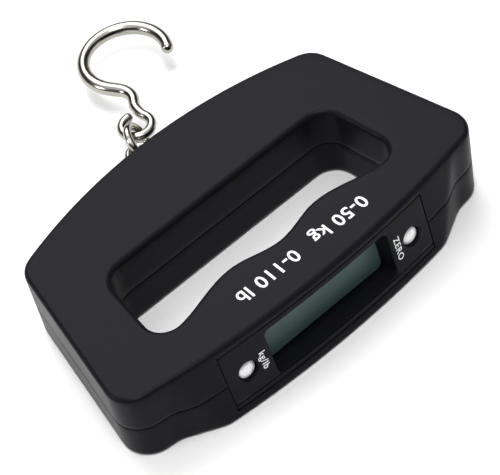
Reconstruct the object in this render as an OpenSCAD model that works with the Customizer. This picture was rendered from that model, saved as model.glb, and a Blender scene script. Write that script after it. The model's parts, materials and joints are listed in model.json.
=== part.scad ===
// Digital luggage scale: a flat D-shaped grip with a hand slot, a display on one
// long side and a hanging hook on the other. It lies on its back, display towards -Y,
// hook towards +Y. The origin is the middle of the back face.

/* [Body] */
// length of the body between the corner points of its display side, before rounding
body_l = 116; // [105:1:130]
// depth of the body from the display side to the hook side
body_d = 69.5; // [64:0.5:84]
// thickness of the body
body_t = 22.5; // [21:0.5:27]
// height of the seam between the two shells
seam_z = 11; // [10:0.5:13]
// wall thickness of the shells
wall = 2; // [1.6:0.1:2.4]
// rounding of the outer edges
edge_r = 1.2; // [0.6:0.1:1.6]
// radius of the corners on the hook side
hook_corner_r = 6.6; // [4:0.2:10]
// radius of the corners on the display side
face_corner_r = 7.4; // [4:0.2:10]
// how much narrower each end gets towards the hook side
end_taper = 9.7; // [6:0.1:12]

/* [Hand slot] */
// half length of the slot on its hook side
slot_half = 36; // [32:0.5:40]
// how much longer each half gets towards the display side
slot_flare = 2.8; // [0:0.1:5]
// height of the two finger rests over the ends of the slot
finger_h = 3.85; // [0:0.05:5]
// dip between the two finger rests
finger_dip = 2.65; // [0:0.05:4]
// distance of each finger rest from the middle
finger_x = 14; // [10:0.5:18]

/* [Display] */
// lean of the display face
face_tilt = 10.6; // [5:0.1:14]
// radius of the display face seen from above
face_r = 300; // [200:10:500]
// width of the display bezel
bezel_w = 65; // [60:0.5:70]
// height of the display bezel along its face
bezel_h = 17.6; // [15:0.1:18.5]
// width of the window in the bezel
window_w = 39.2; // [34:0.2:42]
// height of the window in the bezel
window_h = 14; // [11:0.2:14.5]
// depth of the display glass under the face
glass_depth = 6.8; // [5:0.1:7]
// distance of each button from the middle
button_x = 26.5; // [25:0.5:27]
// radius of the buttons
button_r = 2.4; // [1.8:0.1:2.6]
// travel of the buttons
button_travel = 0.4; // [0.2:0.05:0.5]

/* [Hook] */
// radius of the wire of the hook
hook_wire = 1.7; // [1.4:0.1:2]
// radius of the hook's bowl to the middle of the wire
bowl_r = 11.7; // [10:0.1:14]
// sideways shift of the bowl from the line of the shank
bowl_shift = 0.9; // [0:0.1:3]
// length of the straight shank from the middle of the eye
shank_l = 9.2; // [8:0.2:14]
// radius of the bend between the shank and the bowl
bend_r = 5.5; // [3:0.5:7]
// turn of the bend between the shank and the bowl
bend_a = 65; // [45:1:75]
// turn of the hook and link ring away from the pull line
hook_yaw = 34.5; // [0:0.5:45]
// lean of the link ring about the pull line
ring_lean = 30; // [0:1:30]

/* [Battery cells] */
// diameter of an AAA cell
cell_d = 10.5; // [10.5:0.1:10.5]
// length of an AAA cell with its button
cell_l = 44.5; // [44.5:0.1:44.5]

/* [Hidden] */
$fn = 48;
eps = 0.01;
gap = 0.3;
half_l = body_l / 2;
hook_y = 35;
face_y = body_d - hook_y;
end_x = half_l - end_taper;
hook_corner_y = hook_y - 9.1;
face_corner_y = 9.1 - face_y;
side_r = (end_x * end_x + pow(hook_y - hook_corner_y, 2)) / (2 * (hook_y - hook_corner_y));
edge_steps = 3;
slot_hook_y = 8.7;
slot_end_y = -15.9;
slot_corner_hook = 6.3;
slot_corner_face = 5.2;
finger_w = slot_half - finger_x - 1;
bump_y = slot_end_y + finger_h;

// Display stack, measured inwards from the display face.
bezel_v = body_t / 2 + 0.85;
bezel_gap = 0.1;
bezel_back = 3.4;
skirt = 1.2;
lcd_t = 1.8;
lcd_w = 43;
lcd_v0 = bezel_v - 8;
lcd_v1 = bezel_v + 8.2;
board_y = glass_depth + lcd_t + 2.2;
board_t = 1.6;
board_w = 66;
board_v0 = bezel_v - 6.9;
board_v1 = bezel_v + 9.3;
post_x = 31;
post_v = [bezel_v - 5.4, bezel_v + 7.2];
post_r = 1.4;
board_screw_r = 0.6;
board_screw_head_t = 0.6;
board_screw_bite = 2.6;
switch_w = 6;
switch_h = 3.5;
plunger_r = 1.7;
plunger_h = 1;
plunger_in = 0.7;

// Battery bay against the hand slot and load cell behind the hook side.
cell_r = cell_d / 2;
cell_y = slot_hook_y + wall + 0.4 + cell_r;
cell_z = wall + 0.4 + cell_r;
nub_l = 1;
nub_r = 2.6;
bay_x = cell_l + 2.8;
door_t = 1.8;
door_w = cell_d + 0.6;
door_gap = 0.15;
bay_rib_y = cell_y + cell_r + 0.5;
bay_rib_t = 1;
pull_z = seam_z;
beam_l = 40;
beam_y1 = hook_y - 4;
beam_y0 = beam_y1 - 5.7;
beam_mid_y = (beam_y0 + beam_y1) / 2;
beam_h = 12;
beam_screw_x = 16;
beam_slit_x = 7.5;
beam_slit_r = 1.5;
boss_r = 2.7;
beam_screw_r = 1.5;
bolt_r = 2;
nut_t = 2.2;
washer_t = 0.6;
nut_af = 7;
bolt_y0 = beam_y0 - washer_t - nut_t - 0.4;
bush_r = 4;
bush_l = 3.4;

// Swivel eye, link ring and hook, one behind the other along the pull line.
eye_r = 3;
eye_wire = 1.1;
eye_y = 41.8;
ring_r = 4.4;
ring_wire = 1.1;
ring_step = eye_r + ring_r - eye_wire - ring_wire - 0.35;
ring_c = [ring_step * sin(hook_yaw), eye_y + ring_step * cos(hook_yaw), pull_z];
hook_eye_r = 4;
hook_eye_wire = hook_wire - 0.25;
hook_step = ring_r + hook_eye_r - ring_wire - hook_eye_wire - gap;
joint_in = 0.4;
joint_step = 0.06;
bowl_in = 180 + bend_a;
bowl_out = 5;
diag_l = (bowl_shift + bowl_r * cos(bend_a) - bend_r * (1 - cos(bend_a))) / sin(bend_a);
bowl_y = shank_l + bend_r * sin(bend_a) + diag_l * cos(bend_a) + bowl_r * sin(bend_a);

// Wires, which run round the ends of the slot above the cells.
wire_r = 0.7;
wire_x = slot_half + slot_flare + wall + 5;
wire_z = 16;
wire_face_y = board_y + board_t + wire_r + 0.1;

// Case screws.
hook_screw = [33, hook_y - 9.4];
face_screw = [half_l - 8.6, slot_end_y - 1.6];
case_screws = [for (s = [-1, 1], p = [hook_screw, face_screw]) [s * p.x, p.y]];
screw_r = 1.1;
screw_head_r = 2.2;
screw_head_t = 1.5;
screw_sink = 1;
screw_end = body_t - wall - 3.5;

function unit(v) = v / norm(v);
function polar(r, a) = r * [cos(a), sin(a)];
function arc(c, r, a0, a1, n) = [for (i = [0:n]) c + polar(r, a0 + (a1 - a0) * i / n)];

// Points of a rounded corner at b, between the lines to a and c.
function corner(a, b, c, r, n) =
    let (u = unit(a - b), v = unit(c - b), h = acos(u * v) / 2)
    let (m = b + unit(u + v) * r / sin(h), p = b + u * r / tan(h), q = b + v * r / tan(h))
    let (a0 = atan2(p.y - m.y, p.x - m.x), a1 = atan2(q.y - m.y, q.x - m.x))
    arc(m, r, a0, a0 + (a1 - a0 + 540) % 360 - 180, n);

function mirrored(pts) =
    concat(pts, [for (i = [len(pts) - 1:-1:0]) if (pts[i].x > eps) [-pts[i].x, pts[i].y]]);

// Edge of the hand slot under the fingers: two rests with a dip between them.
function finger_y(x) = abs(x) < finger_x
    ? bump_y - finger_dip * (1 + cos(180 * x / finger_x)) / 2
    : bump_y - finger_h * (1 - cos(180 * (abs(x) - finger_x) / finger_w)) / 2;

function body_half() =
    let (a = [end_x, hook_corner_y], b = [half_l, face_corner_y])
    let (c = [half_l - 11.8, face_corner_y - 1.3], d = [30, -face_y - 0.9])
    let (sweep = asin(0.9 * end_x / side_r), m = [0, hook_y - side_r])
    let (side = arc(m, side_r, 90, 90 - sweep, 10))
    concat(side, corner(side[10], a, b, hook_corner_r, 8), corner(a, b, c, face_corner_r, 8),
        corner(b, c, d, 9, 4), [d]);

function slot_half_pts() =
    let (m = [0, slot_hook_y], a = [slot_half, slot_hook_y])
    let (b = [slot_half + slot_flare, slot_end_y - 0.1], c = [finger_x + finger_w, slot_end_y])
    concat([m], corner(m, a, b, slot_corner_hook, 8), corner(a, b, c - [1.6, 0], slot_corner_face, 8),
        [for (x = [finger_x + finger_w - 3:-2:0]) [x, finger_y(x)]]);

// Point given against the display face: y runs inwards, z runs up the face.
function face_pt(x, y, z) = [x, -face_y + y * cos(face_tilt) + z * sin(face_tilt),
    z * cos(face_tilt) - y * sin(face_tilt)];

// Places things against the display face: y runs inwards, z runs up the face.
module on_face() {
    translate([0, -face_y, 0])
        rotate([-face_tilt, 0, 0])
            children();
}

// Everything behind the curved display face, moved in by inset.
module behind_face(inset) {
    on_face()
        translate([0, face_r, -20])
            cylinder(r = face_r - inset, h = 70, $fn = 720);
}

module body_plan(inset) {
    difference() {
        offset(delta = -inset)
            polygon(mirrored(body_half()));
        offset(delta = inset)
            polygon(mirrored(slot_half_pts()));
    }
}

module slab(z0, z1, inset) {
    intersection() {
        translate([0, 0, z0])
            linear_extrude(z1 - z0)
                body_plan(inset);
        behind_face(inset);
    }
}

// Small steps that follow the rounded outer edge from the wall to the flat.
module edge_slabs(z_wall, dir) {
    for (i = [1:edge_steps]) {
        a0 = 90 * (i - 1) / edge_steps;
        a1 = 90 * i / edge_steps;
        za = z_wall + dir * edge_r * sin(a0);
        zb = z_wall + dir * edge_r * sin(a1);
        slab(min(za, zb), max(za, zb), edge_r * (1 - cos((a0 + a1) / 2)));
    }
}

// Opening in the display face that takes the bezel.
module bezel_cut() {
    on_face()
        translate([-bezel_w / 2 - bezel_gap, -5, bezel_v - bezel_h / 2 - bezel_gap])
            cube([bezel_w + 2 * bezel_gap, 5 + bezel_back + 2, bezel_h + 2 * bezel_gap]);
}

module bush_seat() {
    translate([0, hook_y - wall - 2, pull_z])
        rotate([-90, 0, 0])
            cylinder(r = bush_r + 0.1, h = 6);
}

module front_housing() {
    color("DimGray")
        difference() {
            union() {
                difference() {
                    union() {
                        slab(seam_z, body_t - edge_r, 0);
                        edge_slabs(body_t - edge_r, 1);
                    }
                    slab(seam_z - eps, body_t - wall, wall);
                }
                for (p = case_screws)
                    translate([p.x, p.y, seam_z])
                        cylinder(r = boss_r, h = body_t - wall - seam_z + eps);
                for (s = [-1, 1])
                    translate([s * beam_screw_x, beam_mid_y, pull_z + beam_h / 2])
                        cylinder(r = boss_r, h = body_t - wall - pull_z - beam_h / 2 + eps);
            }
            bezel_cut();
            bush_seat();
            for (p = case_screws)
                translate([p.x, p.y, seam_z - eps])
                    cylinder(r = screw_r + 0.05, h = screw_end + 0.5 - seam_z);
            for (s = [-1, 1])
                translate([s * beam_screw_x, beam_mid_y, pull_z + beam_h / 2 - eps])
                    cylinder(r = beam_screw_r + 0.05, h = 3);
        }
}

module rear_housing() {
    color("DarkSlateGray")
        difference() {
            union() {
                difference() {
                    union() {
                        slab(edge_r, seam_z, 0);
                        edge_slabs(edge_r, -1);
                    }
                    slab(wall, seam_z + eps, wall);
                }
                for (p = case_screws)
                    translate([p.x, p.y, eps])
                        cylinder(r = boss_r + 0.4, h = seam_z - eps);
                translate([-bay_x, bay_rib_y, wall - eps])
                    cube([2 * bay_x, bay_rib_t, 4]);
            }
            bezel_cut();
            bush_seat();
            translate([-bay_x - door_gap, cell_y - door_w / 2 - door_gap, -1])
                cube([2 * (bay_x + door_gap), door_w + 2 * door_gap, wall + 2]);
            for (p = case_screws)
                translate([p.x, p.y, -1]) {
                    cylinder(r = screw_r + 0.2, h = seam_z + 2);
                    cylinder(r = screw_head_r + 0.2, h = 1 + screw_sink + screw_head_t + 0.2);
                }
        }
}

module display_bezel() {
    color("Black")
        difference() {
            union() {
                intersection() {
                    on_face()
                        translate([-bezel_w / 2, -2, bezel_v - bezel_h / 2])
                            cube([bezel_w, 2 + bezel_back, bezel_h]);
                    behind_face(0.02);
                }
                on_face() {
                    translate([-window_w / 2 - skirt, bezel_back - eps, bezel_v - window_h / 2 - skirt])
                        cube([window_w + 2 * skirt, glass_depth - bezel_back - 0.1, window_h + 2 * skirt]);
                    for (s = [-1, 1])
                        translate([s * (bezel_w / 2 + 0.5) - 1.5, 4.5, bezel_v - 3])
                            cube([3, 1.2, 6]);
                    for (s = [-1, 1])
                        translate([s * (bezel_w / 2 - 1.5) - 0.5, bezel_back - eps, bezel_v - 3])
                            cube([1, 2.3, 6]);
                    for (s = [-1, 1], v = post_v)
                        translate([s * post_x, bezel_back - eps, v])
                            rotate([-90, 0, 0])
                                cylinder(r = post_r, h = board_y - bezel_back);
                }
            }
            on_face() {
                window_hole();
                for (s = [-1, 1])
                    translate([s * button_x, -5, bezel_v])
                        rotate([-90, 0, 0])
                            cylinder(r = button_r + gap, h = 12);
                for (s = [-1, 1], v = post_v)
                    translate([s * post_x, board_y - 3, v])
                        rotate([-90, 0, 0])
                            cylinder(r = board_screw_r + 0.05, h = 4, $fn = 24);
            }
        }
}

// Window through the bezel, with rounded corners.
module window_hole() {
    r = 1.6;
    translate([0, -5, bezel_v])
        rotate([-90, 0, 0])
            linear_extrude(12)
                offset(r = r, $fn = 24)
                    square([window_w - 2 * r, window_h - 2 * r], center = true);
}

module lcd_panel() {
    color("DarkSeaGreen")
        on_face()
            translate([-lcd_w / 2, glass_depth, lcd_v0])
                cube([lcd_w, lcd_t, lcd_v1 - lcd_v0]);
}

module lcd_rear_film() {
    color("Silver")
        on_face()
            translate([-lcd_w / 2 + 1, glass_depth + lcd_t, post_v[0] + 1.2])
                cube([lcd_w - 2, 0.4, post_v[1] - post_v[0] - 2.8]);
}

module contact_strips() {
    color("SlateGray")
        on_face()
            for (v = [board_v0 + 0.2, bezel_v + 6.6])
                translate([-19, glass_depth + lcd_t, v])
                    cube([38, board_y - glass_depth - lcd_t, 1.5]);
}

module circuit_board() {
    color("ForestGreen")
        on_face()
            difference() {
                translate([-board_w / 2, board_y, board_v0])
                    cube([board_w, board_t, board_v1 - board_v0]);
                for (s = [-1, 1], v = post_v)
                    translate([s * post_x, board_y - 1, v])
                        rotate([-90, 0, 0])
                            cylinder(r = board_screw_r + 0.1, h = board_t + 2, $fn = 24);
            }
}

module controller_chip() {
    color("Black")
        on_face()
            translate([-12, board_y + board_t, bezel_v])
                rotate([-90, 0, 0]) {
                    cylinder(r = 4, h = 0.6);
                    translate([0, 0, 0.6])
                        cylinder(r = 3.2, h = 0.4);
                }
}

module board_parts() {
    color("Tan")
        on_face() {
            for (i = [0:4])
                translate([8 + 3 * i, board_y + board_t, bezel_v - 3])
                    cube([1.2, 0.7, 2]);
            translate([10, board_y + board_t, bezel_v + 1.4])
                cube([7, 1.1, 4]);
        }
}

module board_screws() {
    color("Silver")
        on_face()
            for (s = [-1, 1], v = post_v)
                translate([s * post_x, board_y - board_screw_bite, v])
                    rotate([-90, 0, 0]) {
                        cylinder(r = board_screw_r, h = board_screw_bite + board_t + 0.2, $fn = 24);
                        translate([0, 0, board_screw_bite + board_t])
                            cylinder(r = 2 * board_screw_r, h = board_screw_head_t, $fn = 24);
                    }
}

module switch_bodies() {
    color("Gray")
        on_face()
            for (s = [-1, 1])
                difference() {
                    translate([s * button_x - switch_w / 2, board_y - switch_h, bezel_v - switch_w / 2])
                        cube([switch_w, switch_h, switch_w]);
                    translate([s * button_x, board_y - switch_h - 1, bezel_v])
                        rotate([-90, 0, 0])
                            cylinder(r = plunger_r + gap, h = 1 + plunger_in + button_travel + gap);
                }
}

module plunger(s) {
    color("Ivory")
        on_face()
            translate([s * button_x, board_y - switch_h - plunger_h, bezel_v])
                rotate([-90, 0, 0])
                    cylinder(r = plunger_r, h = plunger_h + plunger_in);
}

module tare_plunger() {
    plunger(1);
}

module unit_plunger() {
    plunger(-1);
}

// Push button with a domed cap and a collar behind the bezel.
module button(s) {
    dome_r = 4.2;
    top = 1.3;
    rise = dome_r - sqrt(dome_r * dome_r - button_r * button_r);
    color("Gainsboro")
        on_face()
            translate([s * button_x, top, bezel_v])
                rotate([-90, 0, 0]) {
                    translate([0, 0, rise])
                        cylinder(r = button_r, h = board_y - switch_h - plunger_h - top - rise);
                    intersection() {
                        translate([0, 0, dome_r])
                            sphere(r = dome_r);
                        cylinder(r = button_r, h = rise + eps);
                    }
                    translate([0, 0, bezel_back + 0.15 - top])
                        cylinder(r = button_r + 0.9, h = 0.9);
                }
}

module tare_button() {
    button(1);
}

module unit_button() {
    button(-1);
}

module load_cell() {
    color("LightSteelBlue")
        difference() {
            translate([-beam_l / 2, beam_y0, pull_z - beam_h / 2])
                cube([beam_l, beam_y1 - beam_y0, beam_h]);
            translate([0, beam_y0 - 1, pull_z])
                rotate([-90, 0, 0])
                    cylinder(r = bolt_r + 0.05, h = beam_y1 - beam_y0 + 2);
            for (s = [-1, 1]) {
                translate([s * beam_screw_x, beam_mid_y, pull_z - beam_h])
                    cylinder(r = beam_screw_r + 0.1, h = 2 * beam_h);
                for (t = [-1, 1])
                    translate([s * beam_slit_x + t * 2, beam_mid_y, pull_z - beam_h])
                        cylinder(r = beam_slit_r, h = 2 * beam_h);
                translate([s * beam_slit_x - 2, beam_mid_y - 0.5, pull_z - beam_h])
                    cube([4, 1, 2 * beam_h]);
            }
        }
}

module strain_gauges() {
    color("Goldenrod")
        for (s = [-1, 1])
            translate([s * beam_slit_x - 3, beam_y0 - 0.3, pull_z - 2.5])
                cube([6, 0.3, 5]);
}

module load_cell_screws() {
    head_t = 1.6;
    head_r = 2.6;
    bite = 2.5;
    color("Silver")
        for (s = [-1, 1])
            translate([s * beam_screw_x, beam_mid_y, pull_z - beam_h / 2 - head_t])
                difference() {
                    union() {
                        cylinder(r = head_r, h = head_t);
                        cylinder(r = beam_screw_r, h = beam_h + head_t + bite);
                    }
                    cross_recess(head_r, 0.7);
                }
}

module ring(r, wire) {
    rotate_extrude()
        translate([r, 0])
            circle(r = wire, $fn = 24);
}

module swivel_eye() {
    color("Silver") {
        translate([0, eye_y, pull_z])
            ring(eye_r, eye_wire);
        translate([0, bolt_y0, pull_z])
            rotate([-90, 0, 0])
                cylinder(r = bolt_r, h = eye_y - eye_r - 0.5 - bolt_y0);
    }
}

module swivel_washer() {
    color("Silver")
        translate([0, beam_y0 - washer_t, pull_z])
            rotate([-90, 0, 0])
                difference() {
                    cylinder(r = 3.6, h = washer_t - 0.02);
                    translate([0, 0, -1])
                        cylinder(r = bolt_r + 0.05, h = 3);
                }
}

module swivel_nut() {
    color("Silver")
        translate([0, beam_y0 - washer_t - nut_t, pull_z])
            rotate([-90, 0, 0])
                difference() {
                    cylinder(r = nut_af / 2 / cos(30), h = nut_t - 0.02, $fn = 6);
                    translate([0, 0, -1])
                        cylinder(r = bolt_r, h = nut_t + 2);
                }
}

module exit_bush() {
    color("Silver")
        translate([0, hook_y - wall - 0.9, pull_z])
            rotate([-90, 0, 0])
                difference() {
                    union() {
                        cylinder(r = bush_r, h = bush_l);
                        cylinder(r = bush_r + 1, h = 0.7);
                    }
                    translate([0, 0, -1])
                        cylinder(r = bolt_r + gap, h = bush_l + 2);
                }
}

module link_ring() {
    color("Silver")
        translate(ring_c)
            rotate([0, 0, -hook_yaw])
                rotate([0, 90 - ring_lean, 0])
                    ring(ring_r, ring_wire);
}

// Bent piece of hook wire around the origin.
module bend(r, a0, a1) {
    rotate([0, 0, a0])
        rotate_extrude(angle = a1 - a0)
            translate([r, 0])
                circle(r = hook_wire, $fn = 24);
}

// Straight piece along +X that runs a little way into the bends at its ends.
module straight(l, r0, r1) {
    translate([-joint_in, 0, 0])
        rotate([0, 90, 0])
            cylinder(r1 = r0, r2 = r1, h = l + 2 * joint_in);
}

module hook() {
    inner_wire = hook_wire - joint_step;
    bend_end = [-bend_r * (1 - cos(bend_a)), shank_l + bend_r * sin(bend_a), 0];
    color("Gainsboro")
        translate(ring_c)
            rotate([0, 0, -hook_yaw])
                translate([0, hook_step, 0]) {
                    ring(hook_eye_r, hook_eye_wire);
                    translate([0, hook_eye_r, 0])
                        rotate([0, 0, 90])
                            straight(shank_l - hook_eye_r, hook_eye_wire - 0.2, inner_wire);
                    translate([-bend_r, shank_l, 0])
                        bend(bend_r, 0, bend_a);
                    translate(bend_end)
                        rotate([0, 0, 90 + bend_a])
                            straight(diag_l, inner_wire, inner_wire);
                    translate([-bowl_shift, bowl_y, 0]) {
                        bend(bowl_r, bowl_out, bowl_in);
                        rotate([0, 0, bowl_out])
                            translate([bowl_r, 0, 0])
                                rotate([90, 0, 0])
                                    cylinder(r1 = inner_wire, r2 = 0.6 * inner_wire, h = 0.6 * hook_wire);
                    }
                }
}

module battery_door() {
    color("DimGray")
        difference() {
            translate([-bay_x, cell_y - door_w / 2, 0])
                cube([2 * bay_x, door_w, door_t]);
            for (i = [0:3])
                translate([bay_x - 8 - 2 * i, cell_y - 3.5, -1])
                    cube([0.8, 7, 1.4]);
        }
}

// One cell along X with its button end on the +X side.
module cell(x0) {
    color("Peru")
        translate([x0, cell_y, cell_z])
            rotate([0, 90, 0]) {
                cylinder(r = cell_r, h = cell_l - nub_l);
                translate([0, 0, cell_l - nub_l - eps])
                    cylinder(r = nub_r, h = nub_l + eps);
            }
}

module battery_left() {
    cell(-cell_l - 0.1);
}

module battery_right() {
    cell(0.1);
}

module spring_contact() {
    x0 = -bay_x + 0.2;
    color("Silver")
        translate([0, cell_y - 3, 0]) {
            translate([x0, 0, wall + 0.2])
                cube([0.4, 6, 12]);
            translate([x0, 6, 0])
                rotate([90, 0, 0])
                    linear_extrude(6)
                        polygon([[0, 12], [0.4, 12], [2, cell_z], [0.4, 4], [0, 4], [1.5, cell_z]]);
        }
}

module plate_contact() {
    color("Silver")
        translate([bay_x - 1.1, cell_y - 3, wall + 0.2])
            cube([0.4, 6, 12]);
}

// Cross recess for a screwdriver, cut upwards into a head from its face.
module cross_recess(r, depth) {
    for (a = [0, 90])
        rotate([0, 0, a])
            translate([-0.65 * r, -0.15 * r, -depth])
                cube([1.3 * r, 0.3 * r, 2 * depth]);
}

module case_screws() {
    color("Silver")
        for (p = case_screws)
            translate([p.x, p.y, screw_sink])
                difference() {
                    union() {
                        cylinder(r = screw_head_r, h = screw_head_t);
                        cylinder(r = screw_r, h = screw_end - screw_sink);
                    }
                    cross_recess(screw_head_r, 0.7);
                }
}

// Eight-sided wire laid through a list of points; the runs overlap at each bend.
module wire(pts) {
    for (i = [0:len(pts) - 2]) {
        d = pts[i + 1] - pts[i];
        translate(pts[i])
            rotate([0, acos(d.z / norm(d)), atan2(d.y, d.x)])
                translate([0, 0, -wire_r / 2])
                    cylinder(r = wire_r, h = norm(d) + wire_r, $fn = 8);
    }
}

// Last stretch of the wires, round the end of the slot to the back of the board.
function to_board(s) = [[s * wire_x, 6, wire_z], [s * (wire_x - 0.6), slot_end_y + 2, wire_z],
    face_pt(s * (slot_half + 4), wire_face_y, bezel_v + 2),
    face_pt(s * (board_w / 2 - 3), wire_face_y, bezel_v + 2)];

module power_wires() {
    color("Red")
        wire(concat([[-bay_x + 0.4, cell_y, wire_z - 0.4]], to_board(-1)));
}

module signal_wires() {
    gauge_y = beam_y0 - 1.7;
    color("White")
        wire(concat([[12, gauge_y, wire_z - 1], [25, gauge_y - 0.8, wire_z - 0.4],
            [40, gauge_y - 2.6, wire_z]], to_board(1)));
}

front_housing();
rear_housing();
display_bezel();
lcd_panel();
lcd_rear_film();
contact_strips();
circuit_board();
controller_chip();
board_parts();
board_screws();
switch_bodies();
tare_plunger();
unit_plunger();
tare_button();
unit_button();
load_cell();
strain_gauges();
load_cell_screws();
swivel_eye();
swivel_washer();
swivel_nut();
exit_bush();
link_ring();
hook();
battery_door();
battery_left();
battery_right();
spring_contact();
plate_contact();
case_screws();
power_wires();
signal_wires();
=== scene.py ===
# %% [markdown]
# # A digital luggage scale, dressed for its picture
# The CAD part gives every piece its place. Here the pieces you can see get smooth
# surfaces with rounded edges, every piece gets a finish, and a camera, soft lights
# and a pale floor are set up. All lengths are in metres, and the scale lies on its
# back: X along the body, +Y towards the hook, +Z towards the front face.

# %% Load the CAD frame
import json
import math

import bpy
import numpy as np
from mathutils import Matrix, Vector

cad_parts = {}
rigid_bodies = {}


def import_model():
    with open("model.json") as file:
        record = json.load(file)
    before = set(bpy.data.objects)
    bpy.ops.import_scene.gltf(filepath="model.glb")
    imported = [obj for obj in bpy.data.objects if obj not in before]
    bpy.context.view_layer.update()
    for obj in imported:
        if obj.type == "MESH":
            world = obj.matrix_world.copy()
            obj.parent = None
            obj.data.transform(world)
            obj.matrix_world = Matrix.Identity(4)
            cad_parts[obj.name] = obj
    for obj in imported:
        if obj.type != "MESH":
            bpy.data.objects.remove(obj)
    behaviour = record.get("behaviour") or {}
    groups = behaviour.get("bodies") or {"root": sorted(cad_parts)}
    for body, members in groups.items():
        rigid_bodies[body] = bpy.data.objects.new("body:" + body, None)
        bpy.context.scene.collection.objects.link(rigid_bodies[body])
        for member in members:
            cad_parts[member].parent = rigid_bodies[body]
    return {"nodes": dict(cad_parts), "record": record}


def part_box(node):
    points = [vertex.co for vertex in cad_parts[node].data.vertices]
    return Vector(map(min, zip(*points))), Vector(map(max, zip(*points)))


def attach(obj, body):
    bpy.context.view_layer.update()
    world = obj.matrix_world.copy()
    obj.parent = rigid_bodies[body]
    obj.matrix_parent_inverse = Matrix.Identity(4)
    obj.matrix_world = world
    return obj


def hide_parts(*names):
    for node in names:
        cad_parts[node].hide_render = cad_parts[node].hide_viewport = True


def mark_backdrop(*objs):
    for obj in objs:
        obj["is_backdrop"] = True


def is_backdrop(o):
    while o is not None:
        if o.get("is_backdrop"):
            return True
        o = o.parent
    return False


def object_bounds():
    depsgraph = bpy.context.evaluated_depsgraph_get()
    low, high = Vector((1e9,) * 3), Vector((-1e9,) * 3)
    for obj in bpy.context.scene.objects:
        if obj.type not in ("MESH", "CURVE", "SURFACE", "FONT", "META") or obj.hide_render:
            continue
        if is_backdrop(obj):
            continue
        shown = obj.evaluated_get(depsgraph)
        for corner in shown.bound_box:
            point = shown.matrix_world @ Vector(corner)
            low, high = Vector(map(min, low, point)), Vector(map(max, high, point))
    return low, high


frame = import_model()
cad_lo, cad_hi = (list(c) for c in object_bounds())
cad_size = [round(1000 * (b - a), 1) for a, b in zip(cad_lo, cad_hi)]
print(len(frame["nodes"]), "CAD pieces, box in mm:", cad_size)

# %% [markdown]
# ## Sizes shared by the pieces
# These repeat the sizes of the CAD part in millimetres, so the new surfaces land
# exactly where the old ones were. `MM` turns them into metres at the very end.

# %% Sizes
MM = 0.001
BODY_T, SEAM_Z, WALL, EDGE_R = 22.5, 11.0, 2.0, 1.2
HOOK_Y, FACE_Y, HALF_L = 35.0, 34.5, 58.0
END_X, HOOK_CORNER_Y, FACE_CORNER_Y = 48.3, 25.9, -25.4
HOOK_CORNER_R, FACE_CORNER_R = 6.6, 7.4
FACE_R, TILT = 300.0, math.radians(10.6)
print("body", 2 * HALF_L, "x", HOOK_Y + FACE_Y, "x", BODY_T, "mm")

# %% [markdown]
# ## Lines with round corners
# The body and its hand slot are drawn as half outlines: a few corner points, with a
# radius at each. Swapping a corner for an arc is how a draughtsman would do it with
# compasses. The points are then spread evenly, so that the surface built on them has
# cells of one size and shades without streaks.

# %% Tools for outlines
def rounded_path(points, radii, steps=12):
    """Swaps each inner corner for an arc that touches both its sides. The arc's centre
    lies on the line that halves the corner, radius / sin(half the angle) away from it."""
    points = [np.array(p, float) for p in points]
    out = []
    for i, b in enumerate(points):
        if radii[i] == 0:
            out.append(b)
            continue
        u, v = points[i - 1] - b, points[i + 1] - b
        u, v = u / np.linalg.norm(u), v / np.linalg.norm(v)
        half = math.acos(np.clip(u @ v, -1, 1)) / 2
        m = b + (u + v) / np.linalg.norm(u + v) * radii[i] / math.sin(half)
        p, q = b + u * radii[i] / math.tan(half), b + v * radii[i] / math.tan(half)
        start = math.atan2(*(p - m)[::-1])
        turn = (math.atan2(*(q - m)[::-1]) - start + 3 * math.pi) % (2 * math.pi) - math.pi
        a = start + turn * np.arange(steps + 1) / steps
        out += list(m + radii[i] * np.stack([np.cos(a), np.sin(a)], 1))
    return np.array(out)


def resample(points, count):
    """The same line with `count` evenly spaced points, ends included."""
    step = np.r_[0, np.cumsum(np.linalg.norm(np.diff(points, axis=0), axis=1))]
    at = np.linspace(0, step[-1], count)
    return np.stack([np.interp(at, step, points[:, k]) for k in range(points.shape[1])], 1)


def split_even(points, breaks, counts, fine=3000):
    """Parts a line at the points nearest to `breaks` and spreads a set number of points
    on each stretch, so that two different outlines can be joined point to point."""
    points = resample(points, fine)
    near = [int(np.argmin(np.linalg.norm(points - np.array(b), axis=1))) for b in breaks]
    marks = [0] + near + [len(points) - 1]
    parts = [resample(points[a : b + 1], n + 1)[:-1] for a, b, n in zip(marks[:-1], marks[1:], counts)]
    return np.concatenate(parts + [points[-1:]])


print("a square corner of radius 1 has", len(rounded_path([(0, 1), (0, 0), (1, 0)], [0, 1, 0])), "points")

# %% [markdown]
# ## The outline of the body
# Half of the outline is a gentle arc on the hook side, a corner, a straight end that
# widens towards the display, a second corner, a dip and the swelling of the display
# block. It is shared out in three stretches: hook side, end and display side.

# %% Outline of the body
COUNTS = (46, 44, 60)
DIP_X, DIP_Y, DIP_R = 11.8, 1.3, 9.0
BLOCK_X, BLOCK_OUT, BLOCK_R = 30.0, 0.9, 6.0


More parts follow.
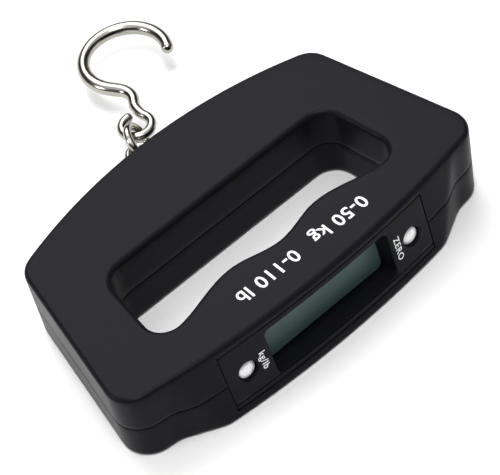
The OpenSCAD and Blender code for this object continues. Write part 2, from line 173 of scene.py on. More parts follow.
def body_line():
    """From the middle of the hook side to the middle of the display side. The radius of
    the arc follows from its half width and its rise: (width^2 + rise^2) / (2 rise)."""
    rise = HOOK_Y - HOOK_CORNER_Y
    side_r = (END_X**2 + rise**2) / (2 * rise)
    a = np.linspace(0, math.asin(0.9 * END_X / side_r), 16)
    arc = list(zip(side_r * np.sin(a), HOOK_Y - side_r + side_r * np.cos(a)))
    front_y = -FACE_Y - BLOCK_OUT
    end = [(END_X, HOOK_CORNER_Y), (HALF_L, FACE_CORNER_Y)]
    block = [(HALF_L - DIP_X, FACE_CORNER_Y - DIP_Y), (BLOCK_X, front_y), (0, front_y)]
    radii = [0] * len(arc) + [HOOK_CORNER_R, FACE_CORNER_R, DIP_R, BLOCK_R, 0]
    return rounded_path(arc + end + block, radii)


body_half = split_even(body_line(), [(47.5, 23.0), (56.0, -23.6)], COUNTS)
print("half outline of the body:", len(body_half), "points")

# %% [markdown]
# ## The outline of the hand slot
# The slot is straight on the hook side, where nothing presses on it, and has two finger
# rests on the display side, which the fingers pull against. The rests could be arcs,
# but a raised cosine joins its slopes without a kink, which suits a moulded grip.

# %% Outline of the hand slot
SLOT_Y, SLOT_HALF, SLOT_END = 8.7, 36.0, (38.8, -16.0)
SLOT_HOOK_R, SLOT_FACE_R = 6.3, 5.2
WAVE_FROM, WAVE_STEP = 32, 1.6
REST_Y, REST_X, REST_DIP, REST_H, REST_W = -12.05, 14.0, 2.65, 3.85, 21.0


def finger_y(x):
    """Two finger rests: a cosine dips between them and a longer one falls to each end."""
    x = np.abs(x)
    inner = REST_Y - REST_DIP * (1 + np.cos(np.pi * x / REST_X)) / 2
    outer = REST_Y - REST_H * (1 - np.cos(np.pi * (x - REST_X) / REST_W)) / 2
    return np.where(x < REST_X, inner, outer)


def slot_line():
    """From the middle of the slot's hook side to the middle of the finger rests."""
    x = np.arange(WAVE_FROM, -0.1, -WAVE_STEP)
    wave = list(zip(x, finger_y(x)))
    points = [(0, SLOT_Y), (SLOT_HALF, SLOT_Y), SLOT_END] + wave
    return rounded_path(points, [0, SLOT_HOOK_R, SLOT_FACE_R] + [0] * len(wave))


slot_half = split_even(slot_line(), [(34.6, 7.0), (37.4, -14.6)], COUNTS)
print("half outline of the slot:", len(slot_half), "points")

# %% [markdown]
# ## Outlines at any height
# The display face is part of a big cylinder that leans back, so the body's outline
# changes with height. Taking the larger of two curves would leave a hard crease where
# they cross, so a soft maximum blends the plan outline with the leaning face.

# %% Outlines at any height
FRONT_PART_Y, SOFTNESS = -20, 0.04


def full(half):
    """Mirrors a half outline to the other side and closes it."""
    return np.concatenate([half, half[-2:0:-1] * [-1, 1]])


def inward(loop):
    """Unit normals pointing into a closed outline that runs clockwise."""
    d = np.roll(loop, -1, 0) - np.roll(loop, 1, 0)
    d /= np.linalg.norm(d, axis=1)[:, None]
    return np.stack([d[:, 1], -d[:, 0]], 1)


def face_sag(x):
    """How far the display cylinder falls back at x: r - sqrt(r^2 - x^2)."""
    return FACE_R - np.sqrt(FACE_R**2 - np.minimum(np.abs(x), FACE_R * 0.9) ** 2)


def body_loop(z, inset):
    """The body's outline at one height, moved in by `inset` along its own normals. The
    soft maximum of two curves is their mean + sqrt(half their distance^2 + softness)."""
    plan = full(body_half)
    lean = -FACE_Y + z * math.tan(TILT) + face_sag(plan[:, 0]) / math.cos(TILT)
    mean, half_gap = (plan[:, 1] + lean) / 2, (plan[:, 1] - lean) / 2
    soft = mean + np.sqrt(half_gap**2 + SOFTNESS)
    loop = np.stack([plan[:, 0], np.where(plan[:, 1] < FRONT_PART_Y, soft, plan[:, 1])], 1)
    return loop + inset * inward(loop)


def slot_loop(inset):
    """The slot's outline, widened by `inset`, so it moves into the plastic as the body's does."""
    loop = full(slot_half)
    return loop - inset * inward(loop)


print("whole outlines:", len(body_loop(0, 0)), "and", len(slot_loop(0)), "points")

# %% [markdown]
# ## From numbers to a mesh
# A mesh could be modelled by hand from a cube, but the case has curves that follow
# formulas, so the points are worked out as a grid and handed to Blender in one go. A
# grid that closes on itself both ways, like the skin of a ring, has no open edge. Its
# signed volume tells whether the faces point outwards.

# %% Tools for surfaces
def mesh_piece(name, points, faces, smooth=True):
    """Makes an object at the origin from points in mm and faces that list them."""
    mesh = bpy.data.meshes.new(name)
    mesh.from_pydata((np.asarray(points) * MM).tolist(), [], [list(map(int, f)) for f in faces])
    mesh.validate()
    mesh.update()
    mesh.polygons.foreach_set("use_smooth", np.full(len(mesh.polygons), smooth))
    obj = bpy.data.objects.new(name, mesh)
    bpy.context.scene.collection.objects.link(obj)
    return obj


def outwards(obj):
    """Turns an inside-out piece round and gives its volume in mm3: a sixth of the sum of
    a . (b x c) over its triangles, which is negative when the faces point inwards."""
    mesh = obj.data
    co = np.zeros(3 * len(mesh.vertices))
    mesh.vertices.foreach_get("co", co)
    mesh.calc_loop_triangles()
    tri = np.zeros(3 * len(mesh.loop_triangles), int)
    mesh.loop_triangles.foreach_get("vertices", tri)
    a, b, c = (co.reshape(-1, 3)[tri.reshape(-1, 3)[:, k]] for k in range(3))
    volume = float(np.einsum("ij,ij->i", a, np.cross(b, c)).sum() / 6)
    if volume < 0:
        mesh.flip_normals()
    return abs(volume) / MM**3


def skin(name, grid):
    """A closed skin from rows x columns of points: each cell joins a point to its next
    ones along the row and the column, and the last row and column join the first."""
    rows, cols = grid.shape[:2]
    i, j = np.meshgrid(np.arange(rows), np.arange(cols), indexing="ij")
    a, b = i * cols + j, i * cols + (j + 1) % cols
    c, d = ((i + 1) % rows) * cols + (j + 1) % cols, ((i + 1) % rows) * cols + j
    obj = mesh_piece(name, grid.reshape(-1, 3), np.stack([a, b, c, d], -1).reshape(-1, 4))
    print(name, rows, "x", cols, "points,", round(outwards(obj)), "mm3")
    return obj


print("surface tools ready")

# %% [markdown]
# ## The two shells
# Each shell is a hollow tray with a hole for the hand. Its cross-section is a closed
# line: up the outside, round the edge, over the face, round the edge of the slot, down
# the slot's wall and back along the inside. Sweeping it round the body gives a skin
# with no open edge. A fine groove at the seam shows where the shells meet.

# %% Build the two shells
SLOT_EDGE_R = 1.5
SEAM_DEPTH, SEAM_HALF = 0.3, 0.1
EASE_IN, EASE_Z, EASE_LINE_Z = 0.04, 0.18, 0.2
OUTSIDE_FROM, SLOT_WALL_TO = 0.32, 0.3
EDGE_STEPS = np.radians([12, 24, 36, 48, 60, 72, 82, 90])
SLOT_EDGE_STEPS = np.radians([90, 80, 68, 56, 44, 32, 20, 10, 0])


def shell(name, z_face):
    """Rows of outlines from the seam over the face and back: a row at height z is the
    outline moved in by the rounding, edge radius x (1 - cos), and lifted by it x sin."""
    up = 1 if z_face > SEAM_Z else -1
    wall_top, slot_top = z_face - up * EDGE_R, z_face - up * SLOT_EDGE_R
    rows = []

    def add(loop, z):
        rows.append(np.column_stack([loop, np.full(len(loop), z)]))

    add(body_loop(SEAM_Z, SEAM_DEPTH), SEAM_Z)
    add(body_loop(SEAM_Z, SEAM_DEPTH), SEAM_Z + up * SEAM_HALF)
    add(body_loop(SEAM_Z + up * EASE_LINE_Z, EASE_IN), SEAM_Z + up * EASE_Z)
    for z in np.linspace(SEAM_Z + up * OUTSIDE_FROM, wall_top, 9):
        add(body_loop(z, 0), z)
    for a in EDGE_STEPS:
        z = wall_top + up * EDGE_R * math.sin(a)
        add(body_loop(z, EDGE_R * (1 - math.cos(a))), z)
    outer = rows[-1]
    inner = np.column_stack([slot_loop(SLOT_EDGE_R), np.full(len(outer), z_face)])
    rows += [outer * (1 - k) + inner * k for k in np.linspace(0, 1, 7)[1:-1]]
    for a in SLOT_EDGE_STEPS:
        add(slot_loop(SLOT_EDGE_R * (1 - math.cos(a))), slot_top + up * SLOT_EDGE_R * math.sin(a))
    for z in np.linspace(slot_top, SEAM_Z + up * SLOT_WALL_TO, 6)[1:]:
        add(slot_loop(0), z)
    add(slot_loop(EASE_IN), SEAM_Z + up * EASE_Z)
    add(slot_loop(SEAM_DEPTH), SEAM_Z + up * SEAM_HALF)
    add(slot_loop(SEAM_DEPTH), SEAM_Z)
    add(slot_loop(WALL), SEAM_Z)
    add(slot_loop(WALL), z_face - up * WALL)
    add(body_loop(z_face - up * WALL, WALL), z_face - up * WALL)
    add(body_loop(SEAM_Z, WALL), SEAM_Z)
    return skin(name, np.array(rows))


front_shell = shell("front_shell_skin", BODY_T)
rear_shell = shell("rear_shell_skin", 0.0)

# %% [markdown]
# ## Shapes to cut with
# Openings could be woven into the grid, but they sit across its rows. A boolean cut
# with a plain box or rod is simpler, and gives the crisp edge of a moulded opening.
# Things on the display side are measured against its leaning face and then tilted.

# %% Tools for cutting
BOX_FACES = [(0, 2, 3, 1), (4, 5, 7, 6), (0, 1, 5, 4), (2, 6, 7, 3), (0, 4, 6, 2), (1, 3, 7, 5)]


def on_face(points):
    """Takes points measured against the display face (x, inwards, up the face) into the
    body's frame: a turn about X by the face's lean, then a shift to the face's foot."""
    p = np.asarray(points, float)
    c, s = math.cos(TILT), math.sin(TILT)
    y, z = p[..., 1] * c + p[..., 2] * s, -p[..., 1] * s + p[..., 2] * c
    return np.stack([p[..., 0], -FACE_Y + y, z], -1)


def box(lo, hi):
    """Points and faces of a box between two corners."""
    return np.array([[(lo, hi)[k >> a & 1][a] for a in range(3)] for k in range(8)], float), BOX_FACES


def rod(centre, radius, length, axis, sides=48):
    """Points and faces of a cylinder that starts at `centre` and runs along an axis, 0 to 2."""
    t = np.arange(sides) * 2 * math.pi / sides
    ring = np.zeros((sides, 3))
    ring[:, (axis + 1) % 3], ring[:, (axis + 2) % 3] = radius * np.cos(t), radius * np.sin(t)
    far = ring.copy()
    far[:, axis] += length
    k = np.arange(sides)
    quads = np.stack([k, (k + 1) % sides, (k + 1) % sides + sides, k + sides], 1).tolist()
    ends = [list(range(sides))[::-1], list(range(sides, 2 * sides))]
    return np.concatenate([ring, far]) + centre, quads + ends


def cut(obj, *shapes):
    """Cuts closed shapes, each a pair of points and faces, out of a piece in one go."""
    first = np.cumsum([0] + [len(points) for points, _ in shapes])
    faces = [[k + start for k in face] for (_, own), start in zip(shapes, first) for face in own]
    tool = mesh_piece("cutter", np.concatenate([points for points, _ in shapes]), faces, smooth=False)
    outwards(tool)
    mod = obj.modifiers.new("cut", "BOOLEAN")
    mod.operation, mod.solver, mod.object = "DIFFERENCE", "EXACT", tool
    made = bpy.data.meshes.new_from_object(obj.evaluated_get(bpy.context.evaluated_depsgraph_get()))
    obj.modifiers.clear()
    obj.data = made
    bpy.data.objects.remove(tool)


print("the display face starts at y =", round(float(on_face([0, 0, 0])[1]), 1))

# %% [markdown]
# ## Openings in the shells
# The pocket for the display runs through both shells. The back also has the battery
# bay and four screw holes, and the hook's swivel leaves through a round hole on the
# seam. Each is cut with a simple shape that is a little larger than what it takes.

# %% Cut the openings
BEZEL_W, BEZEL_H, BEZEL_V, BEZEL_BACK = 65.0, 17.6, 12.1, 3.4
POCKET_GAP, POCKET_DEPTH, POCKET_OUT = 0.18, 5.4, 6
EXIT_R, EXIT_IN, EXIT_L, PULL_Z = 4.1, 5, 9, 11.0
BAY_GAP, BACK_Z, BAY_TOP_Z = 0.2, -2, 3
CASE_SCREWS, SCREW_HOLE_R, SCREW_HOLE_L = ((33, 25.6), (49.4, -17.5)), 2.4, 5

pocket_w, pocket_h = BEZEL_W / 2 + POCKET_GAP, BEZEL_H / 2 + POCKET_GAP
pocket_lo = (-pocket_w, -POCKET_OUT, BEZEL_V - pocket_h)
pocket_hi = (pocket_w, POCKET_DEPTH, BEZEL_V + pocket_h)
pocket, pocket_faces = box(pocket_lo, pocket_hi)
for part in (front_shell, rear_shell):
    cut(part, (on_face(pocket), pocket_faces))
    cut(part, rod((0, HOOK_Y - EXIT_IN, PULL_Z), EXIT_R, EXIT_L, 1))
(x0, y0, _), (x1, y1, _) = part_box("battery_door")
bay_lo = (x0 / MM - BAY_GAP, y0 / MM - BAY_GAP, BACK_Z)
bay_hi = (x1 / MM + BAY_GAP, y1 / MM + BAY_GAP, BAY_TOP_Z)
cut(rear_shell, box(bay_lo, bay_hi))
for x, y in CASE_SCREWS:
    for s in (-1, 1):
        cut(rear_shell, rod((s * x, y, BACK_Z), SCREW_HOLE_R, SCREW_HOLE_L, 2))
for part, node in ((front_shell, "front_housing"), (rear_shell, "rear_housing")):
    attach(part, "body")
    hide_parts(node)
print("shell faces:", len(front_shell.data.polygons), len(rear_shell.data.polygons))

# %% [markdown]
# ## The display bezel
# The bezel is a plate bent to the same big cylinder as the face, with a rounded
# window. Its cross-section runs from the back, round a small outer edge, over the
# plate, round the window's edge and down a deep funnel to the glass.

# %% Build the bezel
WINDOW_W, WINDOW_H, GLASS_DEPTH, SKIRT = 39.2, 14.0, 6.8, 1.2
BEZEL_R, WINDOW_R, BEZEL_EDGE, WINDOW_EDGE = 0.7, 1.6, 0.35, 0.5
GLASS_GAP, EDGE_DEPTHS, FUNNEL_DEPTHS = 0.05, (1.5, 1.0, BEZEL_EDGE), (2.5, 4.5)
ROUND_STEPS = np.radians([25, 50, 75, 90])
CORNERS = np.array([(1, 1), (1, -1), (-1, -1), (-1, 1)])


def rounded_rect(w, h, r, per_corner=10, per_side=(40, 14)):
    """Closed rounded rectangle: a quarter circle at each corner, even points on each side.
    It has as many points at any size, so two of them can be joined point to point."""
    centres = CORNERS * [w / 2 - r, h / 2 - r]
    out = []
    for k in range(4):
        a = np.radians(np.linspace(90 - 90 * k, -90 * k, per_corner))
        arc = centres[k] + r * np.stack([np.cos(a), np.sin(a)], 1)
        side_end = centres[(k + 1) % 4] + r * np.array([math.cos(a[-1]), math.sin(a[-1])])
        out += [arc, np.linspace(arc[-1], side_end, per_side[(k + 1) % 2] + 2)[1:-1]]
    return np.concatenate(out)


def bezel_row(w, h, r, depth, bent=True):
    """One row of the bezel, `depth` behind the bent face or, if not bent, behind its middle."""
    loop = rounded_rect(w, h, r)
    sag = face_sag(loop[:, 0]) if bent else np.zeros(len(loop))
    return np.stack([loop[:, 0], sag + depth, loop[:, 1] + BEZEL_V], 1)


rows = [bezel_row(BEZEL_W, BEZEL_H, BEZEL_R, depth) for depth in EDGE_DEPTHS]
for a in ROUND_STEPS:
    i, depth = BEZEL_EDGE * (1 - math.cos(a)), BEZEL_EDGE * (1 - math.sin(a))
    rows.append(bezel_row(BEZEL_W - 2 * i, BEZEL_H - 2 * i, BEZEL_R, depth))
rim = bezel_row(WINDOW_W + 2 * WINDOW_EDGE, WINDOW_H + 2 * WINDOW_EDGE, WINDOW_R + WINDOW_EDGE, 0)
plate = rows[-1]
for k in np.linspace(0, 1, 9)[1:]:
    row = plate * (1 - k) + rim * k
    row[:, 1] = face_sag(row[:, 0])
    rows.append(row)
for a in ROUND_STEPS:
    i, depth = WINDOW_EDGE * (1 - math.sin(a)), WINDOW_EDGE * (1 - math.cos(a))
    rows.append(bezel_row(WINDOW_W + 2 * i, WINDOW_H + 2 * i, WINDOW_R + i, depth))
glass = GLASS_DEPTH - GLASS_GAP
rows += [bezel_row(WINDOW_W, WINDOW_H, WINDOW_R, depth, bent=False) for depth in (*FUNNEL_DEPTHS, glass)]
skirt_w, skirt_h = WINDOW_W + 2 * SKIRT, WINDOW_H + 2 * SKIRT
rows += [bezel_row(skirt_w, skirt_h, WINDOW_R, depth, bent=False) for depth in (glass, BEZEL_BACK)]
rows.append(bezel_row(BEZEL_W, BEZEL_H, BEZEL_R, BEZEL_BACK, bent=False))
bezel = skin("display_bezel_skin", on_face(np.array(rows)))

# %% [markdown]
# ## Holes and groove in the bezel
# Both button holes are cut by one tool, and a shallow groove runs along the lower
# edge. The groove's tool is a bar bent to the face, so the groove has one depth.

# %% Cut the bezel
BUTTON_X, HOLE_R, HOLE_OUT, HOLE_L, GROOVE_UP = 26.5, 2.75, 3, 9, 1.35
GROOVE_PROFILE = [(-2.0, 0.0), (0.3, 0.0), (0.3, 0.35), (-2.0, 0.35)]


def bent_bar(x, profile):
    """A bar along the face: at each x the profile (inwards, up) moves back with the sag."""
    n = len(x)
    edges = [np.stack([x, face_sag(x) + d, np.full(n, h)], 1) for d, h in profile]
    k = np.arange(n - 1)
    pairs = ((0, 1), (1, 2), (2, 3), (3, 0))
    quads = [np.stack([k + n * a, k + 1 + n * a, k + 1 + n * b, k + n * b], 1) for a, b in pairs]
    ends = [[0, n, 2 * n, 3 * n], [4 * n - 1, 3 * n - 1, 2 * n - 1, n - 1]]
    return np.concatenate(edges), np.concatenate(quads).tolist() + ends


holes = [rod((s * BUTTON_X, -HOLE_OUT, BEZEL_V), HOLE_R, HOLE_L, 1) for s in (-1, 1)]
cut(bezel, *[(on_face(points), faces) for points, faces in holes])
groove_z = BEZEL_V - BEZEL_H / 2 + GROOVE_UP
bar, bar_faces = bent_bar(np.linspace(-BEZEL_W / 2 - 1, BEZEL_W / 2 + 1, 41), GROOVE_PROFILE)
cut(bezel, (on_face(bar + [0, 0, groove_z]), bar_faces))
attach(bezel, "body")
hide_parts("display_bezel")
print("bezel faces:", len(bezel.data.polygons))

# %% [markdown]
# ## Round wire
# A curve with a bevel would also make a wire, but a swept circle gives control of the
# thickness at every point. At each point of the path the circle stands across it, and
# its start direction is carried along without twisting, so the skin doesn't wring.

# %% Tool for wire
def tube(name, path, radius, closed=False, sides=24, cap=6):
    """Circle swept along `path`: point + radius x (cos a x normal + sin a x binormal).
    `radius` is one number or one per point, and open ends close with half balls."""
    p = np.asarray(path, float)
    t = np.roll(p, -1, 0) - np.roll(p, 1, 0) if closed else np.gradient(p, axis=0)
    t /= np.linalg.norm(t, axis=1)[:, None]
    r = np.broadcast_to(np.asarray(radius, float), len(p))
    if not closed:
        a = np.linspace(0, math.pi / 2, cap + 1)[1:]
        head = p[0] - t[0] * (r[0] * np.sin(a[::-1]))[:, None]
        tail = p[-1] + t[-1] * (r[-1] * np.sin(a))[:, None]
        small, large = np.maximum(r[0] * np.cos(a), 0.02), np.maximum(r[-1] * np.cos(a), 0.02)
        p = np.concatenate([head, p, tail])
        t = np.concatenate([np.repeat(t[:1], cap, 0), t, np.repeat(t[-1:], cap, 0)])
        r = np.concatenate([small[::-1], r, large])
    up = np.array([0.0, 0, 1]) if abs(t[0][2]) < 0.9 else np.array([1.0, 0, 0])
    normal = np.zeros_like(p)
    for i in range(len(p)):
        up = up - t[i] * (up @ t[i])
        up = up / np.linalg.norm(up)
        normal[i] = up
    a = np.linspace(0, 2 * math.pi, sides, endpoint=False)[None, :, None]
    round_it = normal[:, None] * np.cos(a) + np.cross(t, normal)[:, None] * np.sin(a)
    grid = p[:, None] + r[:, None, None] * round_it
    if closed:
        return skin(name, grid)
    i, j = np.meshgrid(np.arange(len(p) - 1), np.arange(sides), indexing="ij")
    k, far = (j + 1) % sides, (i + 1) * sides
    quads = np.stack([i * sides + j, i * sides + k, far + k, far + j], -1).reshape(-1, 4).tolist()
    ends = [list(range(sides))[::-1], list(range((len(p) - 1) * sides, len(p) * sides))]
    obj = mesh_piece(name, grid.reshape(-1, 3), quads + ends)
    print(name, len(p), "rings,", round(outwards(obj)), "mm3")
    return obj


print("wire tool ready")

# %% [markdown]
# ## The link ring
# A plain wire ring joins the swivel's eye to the hook. The pull runs off to one side,
# and the ring leans about that line, so it crosses both eyes without touching them.

# %% Build the link ring
YAW, RING_LEAN, EYE_Y = math.radians(34.5), math.radians(30), 41.8
RING_R, RING_WIRE, HOOK_EYE_R, HOOK_EYE_WIRE = 4.4, 1.1, 4.0, 1.45
EYE_R, EYE_WIRE = 3.0, 1.1
EYE_GAP, HOOK_GAP = 0.35, 0.3

pull = np.array([math.sin(YAW), math.cos(YAW), 0])
side = np.array([math.cos(YAW), -math.sin(YAW), 0])
ring_step = EYE_R + RING_R - EYE_WIRE - RING_WIRE - EYE_GAP
hook_step = RING_R + HOOK_EYE_R - RING_WIRE - HOOK_EYE_WIRE - HOOK_GAP
ring_c = np.array([0, EYE_Y, PULL_Z]) + ring_step * pull
hook_c = ring_c + hook_step * pull
across = math.cos(RING_LEAN) * np.array([0, 0, 1.0]) - math.sin(RING_LEAN) * side
turn = np.linspace(0, 2 * math.pi, 72, endpoint=False)[:, None]
ring_path = ring_c + RING_R * (np.cos(turn) * pull + np.sin(turn) * across)
link = tube("link_ring_wire", ring_path, RING_WIRE, closed=True)
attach(link, "link")
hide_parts("link_ring")

# %% [markdown]
# ## The hook
# The hook is one length of thick wire bent like a question mark: most of a circle for
# the eye, a swing to the shank, a bend and a wide bowl. Bending and grinding leave the
# wire uneven, so it is thinner at the eye and fuller in the bowl.

# %% Build the hook
BEND_A, BEND_R, BOWL_R, BOWL_SHIFT, SHANK_L = math.radians(65), 5.5, 11.7, 0.9, 9.2
EYE_FROM, EYE_TURN, SHANK_START = 122, 290, 8.0
BOWL_FROM, BOWL_TO, LEAVE_PULL, ARRIVE_PULL = 245, 5, 4.2, 4.0
WIRE_AT = (0, 0.24, 0.32, 0.4, 0.5, 0.64, 0.82, 0.93, 1)
WIRE_R = (1.35, 1.4, 1.6, 1.85, 1.9, 1.75, 1.95, 1.85, 1.75)


def arc_points(centre, radius, angles):
    """Points on a circle: centre + radius x (cos, sin)."""
    return np.stack([centre[0] + radius * np.cos(angles), centre[1] + radius * np.sin(angles)], 1)


def swing(p0, p1, d0, d1, count=14):
    """Cubic from p0 to p1 that leaves along d0 and arrives along d1 (a Hermite curve)."""
    s = np.linspace(0, 1, count)[1:, None]
    ends = (2 * s**3 - 3 * s**2 + 1) * p0 + (3 * s**2 - 2 * s**3) * p1
    return ends + (s**3 - 2 * s**2 + s) * d0 + (s**3 - s**2) * d1


def hook_path():
    """The question mark in its own plane, x to the side and y along the shank. The bowl
    stands where a straight stretch at the bend's angle just meets it."""
    eye = arc_points((0, 0), HOOK_EYE_R, np.radians(np.linspace(EYE_FROM, EYE_FROM + EYE_TURN, 48)))
    leave = np.radians(EYE_FROM + EYE_TURN - 360)
    d0, d1 = LEAVE_PULL * np.array([-math.sin(leave), math.cos(leave)]), np.array([0.0, ARRIVE_PULL])
    flow = swing(eye[-1], np.array([0.0, SHANK_START]), d0, d1)
    c, s = math.cos(BEND_A), math.sin(BEND_A)
    diag = (BOWL_SHIFT + BOWL_R * c - BEND_R * (1 - c)) / s
    bowl_y = SHANK_L + BEND_R * s + diag * c + BOWL_R * s
    shank = np.array([(0, SHANK_START + 0.4), (0, SHANK_L - 0.2)])
    bend = arc_points((-BEND_R, SHANK_L), BEND_R, np.linspace(0.1, BEND_A, 12))
    bowl = arc_points((-BOWL_SHIFT, bowl_y), BOWL_R, np.radians(np.linspace(BOWL_FROM, BOWL_TO, 90)))
    return resample(np.concatenate([eye, flow, shank, bend, bowl]), 420)


line = hook_path()
for _ in range(6):
    line[1:-1] = (line[:-2] + 2 * line[1:-1] + line[2:]) / 4
along = np.r_[0, np.cumsum(np.linalg.norm(np.diff(line, axis=0), axis=1))]
thick = np.interp(along / along[-1], WIRE_AT, WIRE_R)
hook = tube("hook_wire", hook_c + line[:, :1] * side + line[:, 1:] * pull, thick, sides=32)
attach(hook, "hook")
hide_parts("hook")

# %% [markdown]
# ## Printed marks
# The front carries the weighing range in plain numbers, and the two buttons have short
# labels. Each is text turned into a thin raised mesh. An image would also do, but a
# mesh stays sharp at any distance. The strokes are fattened a little, as paint is.

# %% Lettering
INK, LABEL_SINK = 0.02, 0.02


def print_text(name, words, size, origin, right, up, weight, spacing):
    """Text as mesh, centred on `origin`, running along `right` with its tops towards `up`."""
    data = bpy.data.curves.new(name, "FONT")
    data.body, data.size, data.extrude = words, size * MM, INK * MM
    data.align_x, data.align_y = "CENTER", "CENTER"
    data.offset, data.space_character = weight * size * MM, spacing
    holder = bpy.data.objects.new(name, data)
    bpy.context.scene.collection.objects.link(holder)
    bpy.context.view_layer.update()
    mesh = bpy.data.meshes.new_from_object(holder.evaluated_get(bpy.context.evaluated_depsgraph_get()))
    bpy.data.objects.remove(holder)
    out = np.cross(right, up)
    mesh.transform(Matrix([[right[i], up[i], out[i], origin[i] * MM] for i in range(3)] + [[0, 0, 0, 1]]))
    obj = bpy.data.objects.new(name, mesh)
    bpy.context.scene.collection.objects.link(obj)
    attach(obj, "body")
    print(name, "is", round(1000 * max(obj.dimensions), 1), "mm long")
    return obj


top_at = (1.6, -21.2, BODY_T + INK)
marks = [print_text("capacity_print", "0-50 kg   0-110 lb", 5.2, top_at, (-1, 0, 0), (0, -1, 0), 0.015, 1.08)]
down_face = on_face([0, 0, -1]) - on_face([0, 0, 0])
for words, x, name in (("kg/lb", -22.0, "unit_print"), ("ZERO", 21.8, "tare_print")):
    label_at = on_face([x, float(face_sag(x)) - LABEL_SINK, BEZEL_V])
    slope = np.array([1.0, x / FACE_R, 0])
    slope /= np.linalg.norm(slope)
    marks.append(print_text(name, words, 2.6, label_at, down_face, slope, 0.012, 1.12))

# %% [markdown]
# ## The recipe for a finish
# No real surface is one flat tone. A cloudy noise shifts the colour a little and makes
# some spots glossier than others. Moulded plastic and milled metal also have a fine
# grain, made by a second noise that only tilts the light. Colours are mixed from
# constants, and what is the same all over is set on the shader itself.

# %% The recipe
CLOUD_SIZE, BUMP_HEIGHT, SMOOTHEST = 60, 0.0001, 0.02


def finish(
    name, color, rough, metallic=0.0, grain=0.0, grain_size=900.0, mottle=0.08, rough_var=0.05, spec=0.5
):
    """Principled shader: colour x (1 -+ mottle) and roughness -+ rough_var follow one noise."""
    mat = bpy.data.materials.new(name)
    mat.use_nodes = True
    tree = mat.node_tree
    bsdf = tree.nodes["Principled BSDF"]
    where = tree.nodes.new("ShaderNodeTexCoord")
    cloud = tree.nodes.new("ShaderNodeTexNoise")
    cloud.inputs["Scale"].default_value = CLOUD_SIZE
    cloud.inputs["Detail"].default_value = 4
    tree.links.new(where.outputs["Object"], cloud.inputs["Vector"])
    mix = tree.nodes.new("ShaderNodeMixRGB")
    mix.inputs[1].default_value = (*[c * (1 - mottle) for c in color], 1)
    mix.inputs[2].default_value = (*[min(1, c * (1 + mottle)) for c in color], 1)
    tree.links.new(cloud.outputs["Fac"], mix.inputs[0])
    tree.links.new(mix.outputs[0], bsdf.inputs["Base Color"])
    spread = tree.nodes.new("ShaderNodeMapRange")
    spread.inputs["To Min"].default_value = max(SMOOTHEST, rough - rough_var)
    spread.inputs["To Max"].default_value = min(1, rough + rough_var)
    tree.links.new(cloud.outputs["Fac"], spread.inputs["Value"])
    tree.links.new(spread.outputs["Result"], bsdf.inputs["Roughness"])
    bsdf.inputs["Metallic"].default_value = metallic
    bsdf.inputs["Specular IOR Level"].default_value = spec
    if grain:
        fine = tree.nodes.new("ShaderNodeTexNoise")
        fine.inputs["Scale"].default_value = grain_size
        fine.inputs["Detail"].default_value = 3
        bump = tree.nodes.new("ShaderNodeBump")
        bump.inputs["Strength"].default_value = grain
        bump.inputs["Distance"].default_value = BUMP_HEIGHT
        tree.links.new(where.outputs["Object"], fine.inputs["Vector"])
        tree.links.new(fine.outputs["Fac"], bump.inputs["Height"])
        tree.links.new(bump.outputs["Normal"], bsdf.inputs["Normal"])
    return mat


print("recipe ready")

# %% [markdown]
# ## Finishes you see
# The case is near-black plastic with a weak shine, so that its walls stay dark and only
# the top mirrors the soft light. The wire is plated steel, a little yellow and not
# quite mirror-smooth. The display is off, so it is one quiet grey-green.

# %% Finishes of the outside
black_front, black_rear = (0.0075, 0.0072, 0.0108), (0.0068, 0.0066, 0.0097)
black_bezel = (0.0065, 0.0065, 0.0085)
moulded = {"grain": 0.3, "grain_size": 1800, "spec": 0.055}
FINISHES = {
    "front_shell": finish("charcoal shell", black_front, 0.34, **moulded),
    "rear_shell": finish("black rear shell", black_rear, 0.34, **moulded),
    "bezel": finish("smooth black bezel", black_bezel, 0.3, grain=0.1, grain_size=2500, spec=0.07),
    "lcd": finish("grey-green display", (0.115, 0.19, 0.175), 0.3, mottle=0.02, spec=0.3),
    "button": finish("bright buttons", (0.86, 0.86, 0.87), 0.3, metallic=0.25, mottle=0.03, rough_var=0.03),
    "hook_chrome": finish("plated wire", (0.4, 0.39, 0.345), 0.2, metallic=1.0, mottle=0.06, rough_var=0.04),
    "bush": finish("turned bush", (0.6, 0.6, 0.6), 0.3, metallic=1.0, grain=0.2),
    "fastener": finish("plated screws", (0.55, 0.55, 0.56), 0.3, metallic=1.0, grain=0.15),
    "print": finish("white print", (0.85, 0.85, 0.85), 0.6, mottle=0.03),
}
print(len(FINISHES), "outer finishes")

# %% [markdown]
# ## Finishes inside the case
# These show only when the case is taken apart, and each looks like its real stuff: a
# green board with dark resin, amber gauges on a milled beam, brown cell jackets.

# %% Finishes of the inside
FINISHES.update({
    "film": finish("reflector film", (0.6, 0.62, 0.62), 0.35, metallic=1.0),
    "contact_rubber": finish("layered rubber", (0.1, 0.1, 0.11), 0.8, grain=0.3),
    "board": finish("green board", (0.02, 0.16, 0.06), 0.35, mottle=0.15),
    "chip": finish("sealing resin", (0.01, 0.01, 0.01), 0.2),
    "component": finish("board parts", (0.42, 0.3, 0.17), 0.5),
    "switch": finish("switch bodies", (0.12, 0.12, 0.13), 0.5),
    "plunger": finish("ivory plungers", (0.62, 0.6, 0.55), 0.45),
    "beam": finish("milled beam", (0.66, 0.67, 0.69), 0.35, metallic=1.0, grain=0.2),
    "gauge": finish("amber gauges", (0.55, 0.33, 0.08), 0.4),
    "cell": finish("cell jackets", (0.24, 0.1, 0.04), 0.3, mottle=0.2),
    "contact": finish("contact strips", (0.62, 0.6, 0.56), 0.3, metallic=1.0),
    "red_wire": finish("red insulation", (0.5, 0.02, 0.02), 0.4),
    "white_wire": finish("white insulation", (0.7, 0.7, 0.7), 0.4),
})
print(len(FINISHES), "finishes in all")

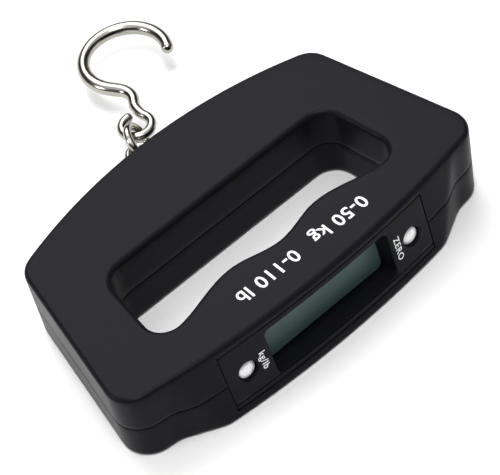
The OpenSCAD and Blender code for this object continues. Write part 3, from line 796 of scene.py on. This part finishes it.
# %% [markdown]
# ## Dress the pieces
# A CAD piece takes the finish that its record names. A new piece takes the finish of
# what it stands for.

# %% Dress the pieces
def wear(obj, finish_name):
    """Gives a piece one finish."""
    obj.data.materials.clear()
    obj.data.materials.append(FINISHES[finish_name])


slots = {part["node"]: part["material_slot"] for part in frame["record"]["subparts"]}
for node, obj in frame["nodes"].items():
    wear(obj, slots[node])
for obj, name in ((front_shell, "front_shell"), (rear_shell, "rear_shell"), (bezel, "bezel")):
    wear(obj, name)
for obj in (link, hook):
    wear(obj, "hook_chrome")
for obj, under in zip(marks, ("front_shell", "bezel", "bezel")):
    wear(obj, "print")

# %% [markdown]
# ## Floor and sky
# A white floor runs far past the picture. The sky is bright overhead, with a dark belt
# lower down: the black case mirrors only the bright part, and the plated wire mirrors
# both, which gives it the dark streaks of polished metal.

# %% Floor and sky
SKY = ((0.0, 0.6), (0.1, 0.6), (0.18, 0.01), (0.62, 0.01), (0.78, 0.95), (1.0, 0.95))

bpy.ops.mesh.primitive_plane_add(size=6, location=(0, 0, 0))
floor = bpy.context.object
floor.name = "floor"
floor.data.materials.append(finish("pale floor", (0.9, 0.9, 0.9), 0.85, mottle=0.005, spec=0.1))
world = bpy.data.worlds.new("studio")
bpy.context.scene.world = world
world.use_nodes = True
sky = world.node_tree
way = sky.nodes.new("ShaderNodeTexCoord")
height = sky.nodes.new("ShaderNodeSeparateXYZ")
belt = sky.nodes.new("ShaderNodeValToRGB")
sky.links.new(way.outputs["Generated"], height.inputs[0])
sky.links.new(height.outputs["Z"], belt.inputs[0])
sky.links.new(belt.outputs[0], sky.nodes["Background"].inputs["Color"])
stops = belt.color_ramp.elements
while len(stops) < len(SKY):
    stops.new(0.5)
for stop, (z, value) in zip(stops, SKY):
    stop.position, stop.color = z, (value, value, value, 1)
print("sky stops:", len(stops))

# %% [markdown]
# ## Lights
# A broad soft light stands behind the scale and lays a faint sheen on its flat top,
# while the walls of the slot stay dark. A smaller one nearly overhead draws the rounded
# edges and lifts the shadows, and a weak one comes from the left.

# %% Lights
def soft_light(name, size, power, location):
    """A round area light that points at the scale."""
    data = bpy.data.lights.new(name, "AREA")
    data.shape, data.size, data.energy = "DISK", size, power
    obj = bpy.data.objects.new(name, data)
    bpy.context.scene.collection.objects.link(obj)
    obj.location = location
    obj.rotation_mode = "QUATERNION"
    obj.rotation_quaternion = (-Vector(location)).to_track_quat("-Z", "Y")
    return obj


lights = [
    soft_light("key light", 0.8, 6.0, (0.2, 0.5, 0.78)),
    soft_light("edge light", 0.22, 4.0, (-0.12, -0.2, 0.9)),
    soft_light("side light", 0.25, 1.8, (-0.75, 0.25, 0.4)),
]
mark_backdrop(floor, *lights)
bpy.context.scene.view_settings.view_transform = "Standard"
print("lights:", len(lights))

# %% [markdown]
# ## Camera
# The camera stands high to the left of the display and is turned a little about its
# own axis, so the scale lies slanted in the picture. Its three axes are worked out
# from two angles and the roll, and written straight into its matrix.

# %% Camera
AZIMUTH, ELEVATION, ROLL = map(math.radians, (-30.96, 49.51, 13.87))
CAMERA_AT, SENSOR, LENS = (-0.15181, -0.25487, 0.35793), 36, 133.7

level = math.cos(ELEVATION)
back = np.array([math.sin(AZIMUTH) * level, -math.cos(AZIMUTH) * level, math.sin(ELEVATION)])
right = np.array([math.cos(AZIMUTH), math.sin(AZIMUTH), 0])
up = np.cross(back, right)
cam_right = right * math.cos(ROLL) - up * math.sin(ROLL)
cam_up = right * math.sin(ROLL) + up * math.cos(ROLL)
cam_data = bpy.data.cameras.new("camera")
cam_data.sensor_width, cam_data.lens = SENSOR, LENS
cam_data.clip_start, cam_data.clip_end = 0.01, 20
camera = bpy.data.objects.new("camera", cam_data)
bpy.context.scene.collection.objects.link(camera)
axes = [[cam_right[i], cam_up[i], back[i], CAMERA_AT[i]] for i in range(3)]
camera.matrix_world = Matrix(axes + [[0, 0, 0, 1]])
bpy.context.scene.camera = camera
print("camera", [round(1000 * c) for c in CAMERA_AT], "mm")

# %% [markdown]
# ## Finish
# The box of the finished object is compared with the CAD box, and how far it has
# grown on each side is printed.

# %% Write the sizes and finish
lo, hi = (list(c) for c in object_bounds())
below = [round(1000 * (a - b), 2) for a, b in zip(cad_lo, lo)]
above = [round(1000 * (b - a), 2) for a, b in zip(cad_hi, hi)]
print("grown by mm:", below, above)
